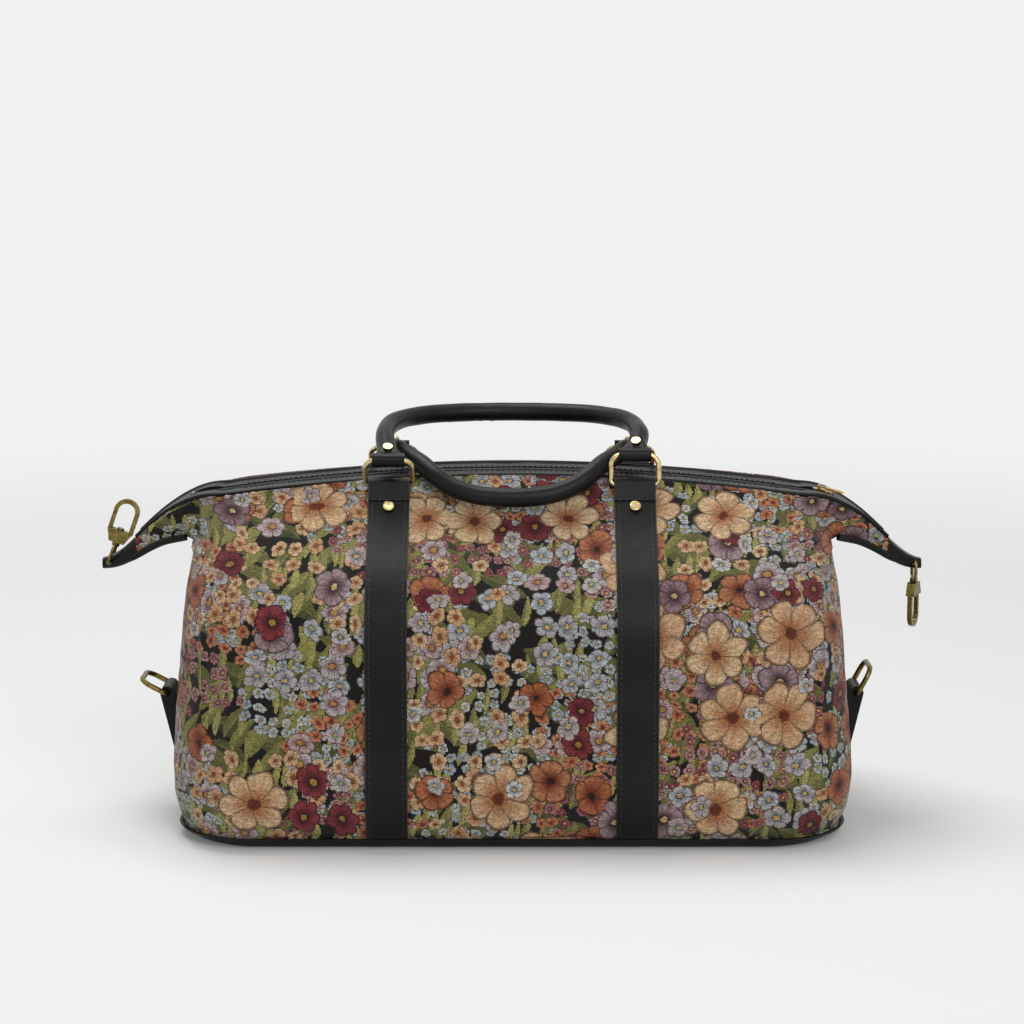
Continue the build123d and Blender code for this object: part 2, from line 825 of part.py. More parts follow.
front_roots = [ring_top("handle_ring_front_right"), ring_top("handle_ring_front_left")]
rear_roots = [ring_top("handle_ring_rear_right"), ring_top("handle_ring_rear_left")]
with BuildPart() as handle_rivets_front:
    add(chape_rivets(front_roots, [front_route[0], (-front_route[0][0], *front_route[0][1:])]))

with BuildPart() as handle_rivets_rear:
    add(chape_rivets(rear_roots, [rear_route[0], (-rear_route[0][0], *rear_route[0][1:])]))


sub_parts = {
    "front_panel": front_panel.part,
    "back_panel": back_panel.part,
    "left_end_panel": left_end_panel.part,
    "right_end_panel": right_end_panel.part,
    "base_panel": base_panel.part,
    "base_board": base_board.part,
    "base_welt": base_welt.part,
    "zip_gusset_front": zip_gusset_front.part,
    "zip_gusset_rear": zip_gusset_rear.part,
    "zip_tape_front": zip_tape_front.part,
    "zip_tape_rear": zip_tape_rear.part,
    "zip_teeth_front": zip_teeth_front.part,
    "zip_teeth_rear": zip_teeth_rear.part,
    "zip_stops": zip_stops.part,
    "zip_slider": zip_slider.part,
    "zip_puller": zip_puller.part,
    "wing_tip_left": wing_tip_left.part,
    "wing_tip_right": wing_tip_right.part,
    "strap_front_left": strap_front_left.part,
    "strap_front_right": strap_front_right.part,
    "strap_rear_left": strap_rear_left.part,
    "strap_rear_right": strap_rear_right.part,
    "strap_rivets": strap_rivets.part,
    "handle_front": handle_front.part,
    "handle_rear": handle_rear.part,
    "handle_rivets_front": handle_rivets_front.part,
    "handle_rivets_rear": handle_rivets_rear.part,
    "side_tab_left": side_tab_left.part,
    "side_tab_right": side_tab_right.part,
    **handle_rings,
    **side_rings,
    **snap_pieces,
}
for name, piece in sub_parts.items():
    piece.label = name
    export_step(piece, f"parts/{name}.step")
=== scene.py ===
import math
import bmesh
import bpy
import numpy as np
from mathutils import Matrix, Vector
from mathutils.bvhtree import BVHTree


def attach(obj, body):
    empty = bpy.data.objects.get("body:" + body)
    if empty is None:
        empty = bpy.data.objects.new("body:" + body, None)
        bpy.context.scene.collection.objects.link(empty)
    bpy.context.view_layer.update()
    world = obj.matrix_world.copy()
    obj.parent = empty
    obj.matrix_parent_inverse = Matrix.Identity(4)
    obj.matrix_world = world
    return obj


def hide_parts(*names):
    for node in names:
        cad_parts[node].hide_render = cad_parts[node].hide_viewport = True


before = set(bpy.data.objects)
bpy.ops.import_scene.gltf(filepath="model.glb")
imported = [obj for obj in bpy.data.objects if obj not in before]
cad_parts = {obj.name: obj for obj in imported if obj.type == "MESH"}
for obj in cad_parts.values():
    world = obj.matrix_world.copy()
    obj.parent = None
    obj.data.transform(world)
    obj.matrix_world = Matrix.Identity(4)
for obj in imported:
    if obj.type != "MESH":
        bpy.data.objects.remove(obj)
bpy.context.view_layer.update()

# Sizes shared by the pieces, in metres
STRAP_X = 0.092            # middle of each strap
STRAP_HALF = 0.0155
ARCH_RADIUS = 1.55953      # zip line
ARCH_TOP = 0.2685
GUSSET_HALF = 0.033
END_STRAIGHT = 0.192       # where the plan corners of the body start
PLAN_CORNER = 0.060
ZIP_END = 0.243
# height and half depth of the body, from base to zip
PROFILE = [
    (0, .108), (.010, .119), (.062, .127), (.130, .125),
    (.188, .115), (.225, .078), (.250, .0535), (.2685, .033),
]
# place along the bag, underside and half width of each end wing
WING = [
    (.247, .2176, .0325), (.264, .2135, .027), (.276, .2075, .0222), (.288, .200, .017), (.293, .1977, .0146),
]

# Nodes and settings that the materials use again and again
MATH = "ShaderNodeMath"
VECTOR = "ShaderNodeVectorMath"
NOISE = "ShaderNodeTexNoise"
BUMP = "ShaderNodeBump"
RANGE = "ShaderNodeMapRange"
MIX = "ShaderNodeMix"
COORDINATES = "ShaderNodeTexCoord"
COLOURS = {"data_type": "RGBA"}
NUMBERS = {"data_type": "FLOAT"}
FLAT_NOISE = {"noise_dimensions": "2D"}
FLAT_CELLS = {"voronoi_dimensions": "2D"}
SMOOTH = {"interpolation_type": "SMOOTHSTEP"}
# so little of the layer below enters a pattern that only the order of the layers changes
WAIT = 1e-7


# Materials

def srgb(code):
    """Linear colour of an sRGB hex value."""
    parts = [int(code[i:i + 2], 16) / 255 for i in (0, 2, 4)]
    return (*[c / 12.92 if c <= 0.04045 else ((c + 0.055) / 1.055) ** 2.4 for c in parts], 1.0)


def add(tree, kind, settings=None, links=None):
    """Adds a node, with its settings, and its inputs as sockets or values."""
    made = tree.nodes.new(kind)
    for key, value in (settings or {}).items():
        setattr(made, key, value)
    for key, value in (links or {}).items():
        if isinstance(value, bpy.types.NodeSocket):
            tree.links.new(value, made.inputs[key])
        else:
            made.inputs[key].default_value = value
    return made


def material(name):
    """New material with its tree and its shader."""
    made = bpy.data.materials.new(name)
    made.use_nodes = True
    return made, made.node_tree, made.node_tree.nodes["Principled BSDF"]


def pattern_group(name, numbers, colours):
    """Node group that lays a pattern over the colour and the height of the layer below."""
    tree = bpy.data.node_groups.new(name, "ShaderNodeTree")
    tree.interface.new_socket("Place", in_out="INPUT", socket_type="NodeSocketVector")
    for label in (*numbers, "Height"):
        tree.interface.new_socket(label, in_out="INPUT", socket_type="NodeSocketFloat")
    for label in (*colours, "Under"):
        tree.interface.new_socket(label, in_out="INPUT", socket_type="NodeSocketColor")
    tree.interface.new_socket("Colour", in_out="OUTPUT", socket_type="NodeSocketColor")
    tree.interface.new_socket("Height", in_out="OUTPUT", socket_type="NodeSocketFloat")
    return tree, add(tree, "NodeGroupInput").outputs


def bloom_group():
    """Scattered blossoms: one in each cell, with petals, heart, creases and outline."""
    tree, start = pattern_group(
        "blossoms", ("Cell", "Petals", "Reach", "Notch", "Heart", "Share", "Patch", "Spread", "Seed"),
        ("Heart colour", "Inner", "Outer", "Tint", "Outline"))
    # the place waits for the layer below, so that few values are held at once
    later = {0: start["Height"], 1: WAIT, 2: start["Seed"]}
    shift = add(tree, MATH, {"operation": "MULTIPLY_ADD"}, later).outputs[0]
    seed = add(tree, "ShaderNodeCombineXYZ", None, {0: shift, 1: shift})
    cell = add(tree, "ShaderNodeCombineXYZ", None, {0: start["Cell"], 1: start["Cell"], 2: 1.0}).outputs[0]
    scaled = add(tree, VECTOR, {"operation": "DIVIDE"}, {0: start["Place"], 1: cell}).outputs[0]
    here = add(tree, VECTOR, {"operation": "ADD"}, {0: scaled, 1: seed.outputs[0]}).outputs[0]
    cells = add(tree, "ShaderNodeTexVoronoi", FLAT_CELLS,
                {"Vector": here, "Scale": 1.0, "Randomness": 0.45}).outputs
    offset = add(tree, VECTOR, {"operation": "SUBTRACT"}, {0: here, 1: cells["Position"]}).outputs[0]
    chance = add(tree, "ShaderNodeSeparateColor", None, {0: cells["Color"]}).outputs
    split = add(tree, "ShaderNodeSeparateXYZ", None, {0: offset}).outputs
    radius = add(tree, VECTOR, {"operation": "LENGTH"}, {0: offset}).outputs["Value"]
    angle = add(tree, MATH, {"operation": "ARCTAN2"}, {0: split[1], 1: split[0]}).outputs[0]
    turned = add(tree, MATH, {"operation": "MULTIPLY_ADD"}, {0: chance[0], 1: 6.28, 2: angle}).outputs[0]
    half_petals = add(tree, MATH, {"operation": "MULTIPLY"}, {0: start["Petals"], 1: 0.5}).outputs[0]
    wave_angle = add(tree, MATH, {"operation": "MULTIPLY"}, {0: turned, 1: half_petals}).outputs[0]
    wave = add(tree, MATH, {"operation": "COSINE"}, {0: wave_angle}).outputs[0]
    lobe = add(tree, MATH, {"operation": "ABSOLUTE"}, {0: wave}).outputs[0]
    round_lobe = add(tree, MATH, {"operation": "POWER"}, {0: lobe, 1: 0.45}).outputs[0]
    notch_part = add(tree, MATH, {"operation": "SUBTRACT"}, {0: round_lobe, 1: 1.0}).outputs[0]
    notched = {0: notch_part, 1: start["Notch"], 2: 1.0}
    edge = add(tree, MATH, {"operation": "MULTIPLY_ADD"}, notched).outputs[0]
    grown = add(tree, RANGE, None, {0: chance[1], 3: 0.84, 4: 1.06}).outputs[0]
    reach = add(tree, MATH, {"operation": "MULTIPLY"}, {0: start["Reach"], 1: grown}).outputs[0]
    limit = add(tree, MATH, {"operation": "MULTIPLY"}, {0: reach, 1: edge}).outputs[0]
    share_out = add(tree, MATH, {"operation": "DIVIDE"}, {0: radius, 1: limit}).outputs[0]
    inside = add(tree, MATH, {"operation": "LESS_THAN"}, {0: share_out, 1: 1.0}).outputs[0]
    kept = add(tree, MATH, {"operation": "LESS_THAN"}, {0: chance[2], 1: start["Share"]}).outputs[0]
    # groups of the same blossom, from a broad noise read at the middle of each cell
    group_place = add(tree, VECTOR, {"operation": "MULTIPLY"}, {0: cells["Position"], 1: cell}).outputs[0]
    group_scale = add(tree, MATH, {"operation": "DIVIDE"}, {0: 1.0, 1: start["Spread"]}).outputs[0]
    group = add(tree, NOISE, FLAT_NOISE,
                {"Vector": group_place, "Scale": group_scale, "Detail": 1.0}).outputs[0]
    grouped = add(tree, MATH, {"operation": "GREATER_THAN"}, {0: group, 1: start["Patch"]}).outputs[0]
    shown = add(tree, MATH, {"operation": "MULTIPLY"}, {0: kept, 1: grouped}).outputs[0]
    mask = add(tree, MATH, {"operation": "MULTIPLY"}, {0: inside, 1: shown}).outputs[0]
    # petals shaded from the heart to a paler rim
    fade = add(tree, RANGE, SMOOTH, {0: share_out, 1: 0.15, 2: 0.8}).outputs[0]
    rim = add(tree, MIX, COLOURS, {0: chance[1], 6: start["Outer"], 7: start["Tint"]}).outputs[2]
    petal = add(tree, MIX, COLOURS, {0: fade, 6: start["Inner"], 7: rim}).outputs[2]
    vein_angle = add(tree, MATH, {"operation": "MULTIPLY"}, {0: wave_angle, 1: 7.0}).outputs[0]
    vein = add(tree, MATH, {"operation": "SINE"}, {0: vein_angle}).outputs[0]
    vein_dark = add(tree, RANGE, None, {0: vein, 1: -1.0, 2: 1.0, 3: 0.0, 4: 0.3}).outputs[0]
    veined = add(tree, MIX, COLOURS, {0: vein_dark, 6: petal, 7: start["Inner"]}).outputs[2]
    crease = add(tree, RANGE, None, {0: lobe, 1: 0.0, 2: 0.3, 3: 0.75, 4: 0.0}).outputs[0]
    creased = add(tree, MIX, COLOURS, {0: crease, 6: veined, 7: start["Outline"]}).outputs[2]
    rim_line = add(tree, RANGE, None, {0: share_out, 1: 0.88, 2: 0.96, 3: 0.0, 4: 0.85}).outputs[0]
    outlined = add(tree, MIX, COLOURS, {0: rim_line, 6: creased, 7: start["Outline"]}).outputs[2]
    # the heart, with a dark ring round it
    heart_share = add(tree, MATH, {"operation": "DIVIDE"}, {0: radius, 1: reach}).outputs[0]
    ring_size = add(tree, MATH, {"operation": "MULTIPLY"}, {0: start["Heart"], 1: 1.35}).outputs[0]
    ring = add(tree, MATH, {"operation": "LESS_THAN"}, {0: heart_share, 1: ring_size}).outputs[0]
    ring_dark = add(tree, MATH, {"operation": "MULTIPLY"}, {0: ring, 1: 0.7}).outputs[0]
    ringed = add(tree, MIX, COLOURS, {0: ring_dark, 6: outlined, 7: start["Outline"]}).outputs[2]
    heart = add(tree, MATH, {"operation": "LESS_THAN"}, {0: heart_share, 1: start["Heart"]}).outputs[0]
    whole = add(tree, MIX, COLOURS, {0: heart, 6: ringed, 7: start["Heart colour"]}).outputs[2]
    result = add(tree, MIX, COLOURS, {0: mask, 6: start["Under"], 7: whole}).outputs[2]
    dome = add(tree, MATH, {"operation": "MULTIPLY"}, {0: share_out, 1: share_out}).outputs[0]
    relief = add(tree, RANGE, None, {0: dome, 3: 1.0, 4: 0.45}).outputs[0]
    creased_relief = add(tree, MATH, {"operation": "SUBTRACT"}, {0: relief, 1: crease}).outputs[0]
    height = add(tree, MIX, NUMBERS, {0: mask, 2: start["Height"], 3: creased_relief}).outputs[0]
    add(tree, "NodeGroupOutput", None, {"Colour": result, "Height": height})
    return tree


def leaf_group():
    """Scattered pointed leaves with a midrib, all turned one way."""
    tree, start = pattern_group("leaves", ("Turn", "Length", "Width", "Share"), ("Light", "Dark"))
    later = {0: start["Height"], 1: WAIT, 2: start["Turn"]}
    turn = add(tree, MATH, {"operation": "MULTIPLY_ADD"}, later).outputs[0]
    turned = add(tree, "ShaderNodeVectorRotate", {"rotation_type": "Z_AXIS"},
                 {"Vector": start["Place"], "Angle": turn})
    leaf_size = {0: start["Length"], 1: start["Width"], 2: 1.0}
    size = add(tree, "ShaderNodeCombineXYZ", None, leaf_size).outputs[0]
    here = add(tree, VECTOR, {"operation": "DIVIDE"}, {0: turned.outputs[0], 1: size}).outputs[0]
    cells = add(tree, "ShaderNodeTexVoronoi", FLAT_CELLS,
                {"Vector": here, "Scale": 1.0, "Randomness": 0.6}).outputs
    offset = add(tree, VECTOR, {"operation": "SUBTRACT"}, {0: here, 1: cells["Position"]}).outputs[0]
    chance = add(tree, "ShaderNodeSeparateColor", None, {0: cells["Color"]}).outputs
    split = add(tree, "ShaderNodeSeparateXYZ", None, {0: offset}).outputs
    # a curved midrib
    along = add(tree, MATH, {"operation": "MULTIPLY"}, {0: split[0], 1: split[0]}).outputs[0]
    across = add(tree, MATH, {"operation": "MULTIPLY_ADD"}, {0: along, 1: 0.5, 2: split[1]}).outputs[0]
    away = add(tree, MATH, {"operation": "ABSOLUTE"}, {0: across}).outputs[0]
    taper = add(tree, MATH, {"operation": "MULTIPLY_ADD"}, {0: along, 1: -1.9, 2: 0.42}).outputs[0]
    share_out = add(tree, MATH, {"operation": "DIVIDE"}, {0: away, 1: taper}).outputs[0]
    pointed = add(tree, MATH, {"operation": "GREATER_THAN"}, {0: taper, 1: 0.01}).outputs[0]
    inside = add(tree, MATH, {"operation": "LESS_THAN"}, {0: share_out, 1: 1.0}).outputs[0]
    kept = add(tree, MATH, {"operation": "LESS_THAN"}, {0: chance[2], 1: start["Share"]}).outputs[0]
    both = add(tree, MATH, {"operation": "MULTIPLY"}, {0: pointed, 1: inside}).outputs[0]
    mask = add(tree, MATH, {"operation": "MULTIPLY"}, {0: both, 1: kept}).outputs[0]
    lit_side = add(tree, MATH, {"operation": "GREATER_THAN"}, {0: across, 1: 0.0}).outputs[0]
    tone = add(tree, MATH, {"operation": "MULTIPLY_ADD"}, {0: lit_side, 1: 0.45, 2: chance[1]}).outputs[0]
    leaf = add(tree, MIX, COLOURS, {0: tone, 6: start["Dark"], 7: start["Light"]}).outputs[2]
    rib = add(tree, MATH, {"operation": "LESS_THAN"}, {0: share_out, 1: 0.13}).outputs[0]
    ribbed = add(tree, MIX, COLOURS, {0: rib, 6: leaf, 7: start["Light"]}).outputs[2]
    result = add(tree, MIX, COLOURS, {0: mask, 6: start["Under"], 7: ribbed}).outputs[2]
    height = add(tree, MIX, NUMBERS, {0: mask, 2: start["Height"], 3: 0.4}).outputs[0]
    add(tree, "NodeGroupOutput", None, {"Colour": result, "Height": height})
    return tree


# Threads of about 1 mm, coarser than the real 0.5 mm so that they show
THREAD = (1.0, 0.8, 1.0)
# Leaves from the lowest layer up: turn, length and width in millimetres, share, then light and dark side
LEAVES = (
    (0.5, 46.0, 17.0, 0.75, "6E6C3C", "343C26"),
    (-0.9, 38.0, 13.0, 0.55, "8E8A4C", "444A2E"),
    (1.7, 24.0, 7.0, 0.45, "A8A060", "66653A"),
)
# Blossoms from the lowest layer up: cell in millimetres, petals, reach, notch, heart, share, patch, spread in
# millimetres and seed, then the colours of heart, inner petal, rim, the rim's other tint and outline
BLOSSOMS = (
    (9.5, 5, .46, .35, .22, .85, .50, 95, 3.1, "C9A24E", "8E989C", "D6D6D0", "A4B0B6", "1E2428"),
    (11.0, 5, .46, .3, .2, .8, .53, 110, 7.7, "6E3420", "A0563A", "D49A72", "C07E5C", "2A140D"),
    (10.0, 4, .47, .35, .2, .85, .56, 120, 15.3, "C7A468", "64222E", "964452", "CBA6A0", "240E12"),
    (21.0, 5, .44, .35, .2, .75, .48, 130, 11.9, "C8A868", "76828A", "C4C9CA", "C6B2B0", "161B1F"),
    (24.0, 6, .44, .3, .22, .6, .50, 105, 21.4, "B98A48", "84565A", "CDB2AE", "C4C2C4", "2C1A1E"),
    (15.0, 5, .45, .3, .2, .6, .54, 140, 27.2, "8A4E2C", "B07E54", "E2CAA2", "D6A87E", "33200F"),
    (37.0, 5, .44, .25, .14, .5, .50, 150, 31.8, "2A1810", "76321F", "B2643F", "C28660", "260E09"),
    (36.0, 5, .44, .25, .15, .3, .51, 160, 44.6, "C9B278", "4A2C34", "8C6A72", "B59CA0", "180D10"),
    (29.0, 6, .44, .25, .18, .35, .53, 120, 52.3, "A8803C", "46141C", "762A34", "943E44", "180709"),
    (58.0, 6, .45, .38, .13, .55, .52, 210, 63.5, "6A2E1A", "AE7046", "E6CCA2", "DBB48C", "3A2212"),
    (19.0, 5, .43, .35, .2, .12, .42, 130, 71.2, "C8A868", "7E8A92", "DAD6CE", "CBAEA6", "1C2024"),
)


def tapestry_cloth():
    """Jacquard tapestry: cotton wefts in many colours on a black warp, so soft, matt and thready."""
    made, tree, shader = material("jacquard tapestry")
    blossoms, leaves = bloom_group(), leaf_group()
    cloth = add(tree, "ShaderNodeAttribute", {"attribute_name": "cloth"}).outputs["Vector"]
    # each thread takes one colour, and the blossoms' outlines wander by a few millimetres
    snapped = add(tree, VECTOR, {"operation": "SNAP"}, {0: cloth, 1: THREAD}).outputs[0]
    wander = add(tree, NOISE, FLAT_NOISE, {"Vector": snapped, "Scale": 0.035, "Detail": 1.0}).outputs[1]
    centred = add(tree, VECTOR, {"operation": "SUBTRACT"}, {0: wander, 1: (0.5, 0.5, 0.5)}).outputs[0]
    pushed = add(tree, VECTOR, {"operation": "SCALE"}, {0: centred, "Scale": 9.0}).outputs[0]
    moved = add(tree, VECTOR, {"operation": "ADD"}, {0: snapped, 1: pushed}).outputs[0]
    place = add(tree, VECTOR, {"operation": "MULTIPLY"}, {0: moved, 1: (1.0, 1.0, 0.0)}).outputs[0]
    colour, height = srgb("15120F"), 0.0
    for turn, length, width, share, light, dark in LEAVES:
        layer = add(tree, "ShaderNodeGroup", {"node_tree": leaves}, {
            "Place": place, "Turn": turn, "Length": length, "Width": width, "Share": share,
            "Light": srgb(light), "Dark": srgb(dark), "Under": colour, "Height": height})
        colour, height = layer.outputs["Colour"], layer.outputs["Height"]
    for cell, petals, reach, notch, heart, share, patch, spread, seed, *tones in BLOSSOMS:
        layer = add(tree, "ShaderNodeGroup", {"node_tree": blossoms}, {
            "Place": place, "Cell": cell, "Petals": float(petals), "Reach": reach, "Notch": notch,
            "Heart": heart, "Share": share, "Patch": patch, "Spread": float(spread), "Seed": seed,
            "Heart colour": srgb(tones[0]), "Inner": srgb(tones[1]), "Outer": srgb(tones[2]),
            "Tint": srgb(tones[3]), "Outline": srgb(tones[4]), "Under": colour, "Height": height})
        colour, height = layer.outputs["Colour"], layer.outputs["Height"]
    # every thread a little lighter or darker, and the black warp showing between
    fleck = add(tree, "ShaderNodeTexWhiteNoise", FLAT_NOISE, {"Vector": snapped}).outputs[0]
    # wefts of 6 mm by 0.9 mm
    drawn = add(tree, VECTOR, {"operation": "MULTIPLY"}, {0: cloth, 1: (0.16, 1.1, 0.0)}).outputs[0]
    weft = add(tree, NOISE, FLAT_NOISE, {"Vector": drawn, "Scale": 1.0, "Detail": 1.0}).outputs[0]
    threads = add(tree, MATH, {"operation": "MULTIPLY_ADD"}, {0: weft, 1: 1.2, 2: fleck}).outputs[0]
    shade = add(tree, RANGE, None, {0: threads, 1: 0.45, 2: 1.75, 3: 0.5, 4: 1.22}).outputs[0]
    flecked = add(tree, VECTOR, {"operation": "SCALE"}, {0: colour, "Scale": shade}).outputs[0]
    ground = add(tree, MATH, {"operation": "GREATER_THAN"}, {0: fleck, 1: 0.85}).outputs[0]
    ground_part = add(tree, MATH, {"operation": "MULTIPLY"}, {0: ground, 1: 0.55}).outputs[0]
    woven = add(tree, MIX, COLOURS, {0: ground_part, 6: flecked, 7: srgb("1A1512")}).outputs[2]
    tree.links.new(woven, shader.inputs["Base Color"])
    # relief of the floating threads
    float_wave = add(tree, NOISE, FLAT_NOISE, {"Vector": cloth, "Scale": 0.9, "Detail": 2.0}).outputs[0]
    flecks = add(tree, MATH, {"operation": "MULTIPLY_ADD"}, {0: fleck, 1: 0.35, 2: float_wave}).outputs[0]
    relief = add(tree, MATH, {"operation": "MULTIPLY_ADD"}, {0: weft, 1: 1.2, 2: flecks}).outputs[0]
    bump = add(tree, BUMP, None, {"Strength": 0.7, "Distance": 0.0008, "Height": relief}).outputs[0]
    tree.links.new(bump, shader.inputs["Normal"])
    shader.inputs["Roughness"].default_value = 0.9
    shader.inputs["Specular IOR Level"].default_value = 0.2
    shader.inputs["Sheen Weight"].default_value = 0.15
    shader.inputs["Sheen Roughness"].default_value = 0.5
    return made


def calf_leather(name, base, worn, roughness, grain, stretch=(1, 1, 1)):
    """Black finished calf: tight pebble grain, a soft sheen, slightly paler where it is rubbed."""
    made, tree, shader = material(name)
    here = add(tree, COORDINATES).outputs["Object"]
    mapped = add(tree, "ShaderNodeMapping", None, {"Vector": here, "Scale": stretch}).outputs[0]
    # pebbles of 0.9 mm and creases of about 12 mm
    pebbles = add(tree, "ShaderNodeTexVoronoi", {"feature": "SMOOTH_F1"},
                  {"Vector": mapped, "Scale": 1100.0}).outputs[0]
    creases = add(tree, NOISE, None,
                  {"Vector": mapped, "Scale": 85.0, "Detail": 5.0, "Roughness": 0.6}).outputs[0]
    rub = add(tree, NOISE, None, {"Vector": here, "Scale": 22.0, "Detail": 4.0}).outputs[0]
    rubbed = add(tree, RANGE, None, {0: rub, 1: 0.4, 2: 0.75}).outputs[0]
    colour = add(tree, MIX, COLOURS, {0: rubbed, 6: srgb(base), 7: srgb(worn)}).outputs[2]
    tree.links.new(colour, shader.inputs["Base Color"])
    gloss = add(tree, RANGE, None, {0: creases, 3: roughness - 0.08, 4: roughness + 0.1}).outputs[0]
    tree.links.new(gloss, shader.inputs["Roughness"])
    relief = add(tree, MATH, {"operation": "MULTIPLY_ADD"}, {0: pebbles, 1: grain, 2: creases}).outputs[0]
    bump = add(tree, BUMP, None, {"Strength": 0.35, "Distance": 0.0009, "Height": relief}).outputs[0]
    tree.links.new(bump, shader.inputs["Normal"])
    shader.inputs["IOR"].default_value = 1.5
    shader.inputs["Specular IOR Level"].default_value = 0.17
    return made


def strap_leather():
    """The same calf on the straps, with a scored line and a burnished paler edge each side."""
    made = calf_leather("strap calf", "0B0D0A", "181A17", 0.44, 0.25)
    tree = made.node_tree
    shader = tree.nodes["Principled BSDF"]
    here = add(tree, COORDINATES).outputs["Object"]
    across = add(tree, "ShaderNodeSeparateXYZ", None, {0: here}).outputs[0]
    side = add(tree, MATH, {"operation": "ABSOLUTE"}, {0: across}).outputs[0]
    off_middle = add(tree, MATH, {"operation": "SUBTRACT"}, {0: side, 1: STRAP_X}).outputs[0]
    from_middle = add(tree, MATH, {"operation": "ABSOLUTE"}, {0: off_middle}).outputs[0]
    burnished = {0: from_middle, 1: STRAP_HALF - 0.0012, 2: STRAP_HALF - 0.0004, 3: 0.0, 4: 0.75}
    edge = add(tree, RANGE, None, burnished).outputs[0]
    colour = shader.inputs["Base Color"].links[0].from_socket
    edged = add(tree, MIX, COLOURS, {0: edge, 6: colour, 7: srgb("2E302C")}).outputs[2]
    tree.links.new(edged, shader.inputs["Base Color"])
    scoring = {0: from_middle, 1: STRAP_HALF - 0.0017, 2: 0.0003}
    line = add(tree, MATH, {"operation": "COMPARE"}, scoring).outputs[0]
    normal = shader.inputs["Normal"].links[0].from_node
    relief = normal.inputs["Height"].links[0].from_socket
    scored = add(tree, MATH, {"operation": "SUBTRACT"}, {0: relief, 1: line}).outputs[0]
    tree.links.new(scored, normal.inputs["Height"])
    return made


def brass(name, base, deep, roughness):
    """Cast and plated brass: mirror-like with faint handling marks, darker in its tarnish."""
    made, tree, shader = material(name)
    here = add(tree, COORDINATES).outputs["Object"]
    # marks of about 3 mm
    marks = add(tree, NOISE, None,
                {"Vector": here, "Scale": 320.0, "Detail": 5.0, "Roughness": 0.65}).outputs[0]
    stain = add(tree, RANGE, None, {0: marks, 1: 0.38, 2: 0.7}).outputs[0]
    colour = add(tree, MIX, COLOURS, {0: stain, 6: srgb(base), 7: srgb(deep)}).outputs[2]
    tree.links.new(colour, shader.inputs["Base Color"])
    gloss = add(tree, RANGE, None, {0: marks, 3: roughness - 0.06, 4: roughness + 0.16}).outputs[0]
    tree.links.new(gloss, shader.inputs["Roughness"])
    bump = add(tree, BUMP, None, {"Strength": 0.08, "Distance": 0.0002, "Height": marks}).outputs[0]
    tree.links.new(bump, shader.inputs["Normal"])
    shader.inputs["Metallic"].default_value = 1.0
    return made


def woven_tape():
    """Polyester zip tape: a fine twill, dull black."""
    made, tree, shader = material("zip tape twill")
    here = add(tree, COORDINATES).outputs["Object"]
    # twill ribs 0.7 mm apart
    ribs = add(tree, "ShaderNodeTexWave", {"bands_direction": "DIAGONAL"},
               {"Vector": here, "Scale": 450.0, "Distortion": 0.4}).outputs[1]
    colour = add(tree, MIX, COLOURS, {0: ribs, 6: srgb("101113"), 7: srgb("222326")}).outputs[2]
    tree.links.new(colour, shader.inputs["Base Color"])
    bump = add(tree, BUMP, None, {"Strength": 0.4, "Distance": 0.0002, "Height": ribs}).outputs[0]
    tree.links.new(bump, shader.inputs["Normal"])
    shader.inputs["Roughness"].default_value = 0.85
    return made


def thread_or_resin(name, base, light, roughness, scale):
    """Waxed sewing thread or moulded nylon: black, with a faint twist or mould variation."""
    made, tree, shader = material(name)
    here = add(tree, COORDINATES).outputs["Object"]
    twist = add(tree, NOISE, None, {"Vector": here, "Scale": scale, "Detail": 3.0}).outputs[0]
    colour = add(tree, MIX, COLOURS, {0: twist, 6: srgb(base), 7: srgb(light)}).outputs[2]
    tree.links.new(colour, shader.inputs["Base Color"])
    bump = add(tree, BUMP, None, {"Strength": 0.3, "Distance": 0.0001, "Height": twist}).outputs[0]
    tree.links.new(bump, shader.inputs["Normal"])
    shader.inputs["Roughness"].default_value = roughness
    return made


tapestry = tapestry_cloth()
calf = calf_leather("black calf", "0B0C0A", "161715", 0.42, 0.25)
glossy_calf = calf_leather("glossed calf", "0A0B09", "151614", 0.27, 0.12)
rolled_calf = calf_leather("rolled calf", "0C0D0B", "1A1C1A", 0.36, 0.15, (3.2, 1, 1))
strap_calf = strap_leather()
pale_brass = brass("pale brass plate", "DCC896", "9C8352", 0.2)
gold_brass = brass("bright brass", "DDB768", "A88242", 0.16)
old_brass = brass("antiqued brass", "8C7A45", "43401F", 0.3)
tape = woven_tape()
nylon = thread_or_resin("nylon coil", "0E0F11", "26282B", 0.35, 900.0)
waxed_thread = thread_or_resin("waxed thread", "121314", "26282A", 0.5, 2500.0)
fibre_board = thread_or_resin("fibre board", "3A2F27", "52463A", 0.9, 260.0)


# Pieces

def new_piece(name, points, faces, finish, body, slot, *nodes):
    """Object from points and faces that rides on a body and may stand for CAD nodes."""
    mesh = bpy.data.meshes.new(name)
    mesh.from_pydata([tuple(p) for p in points], [], faces)
    mesh.materials.append(finish)
    piece = bpy.data.objects.new(name, mesh)
    bpy.context.scene.collection.objects.link(piece)
    return settle(piece, body, slot, *nodes)


def settle(piece, body, slot, *nodes):
    """Smooth shading, body and the nodes that the piece stands for; the material slot is not used."""
    bpy.ops.object.select_all(action="DESELECT")
    piece.select_set(True)
    bpy.context.view_layer.objects.active = piece
    bpy.ops.object.shade_smooth_by_angle(angle=math.radians(40))
    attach(piece, body)
    if nodes:
        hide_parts(*nodes)
    return piece


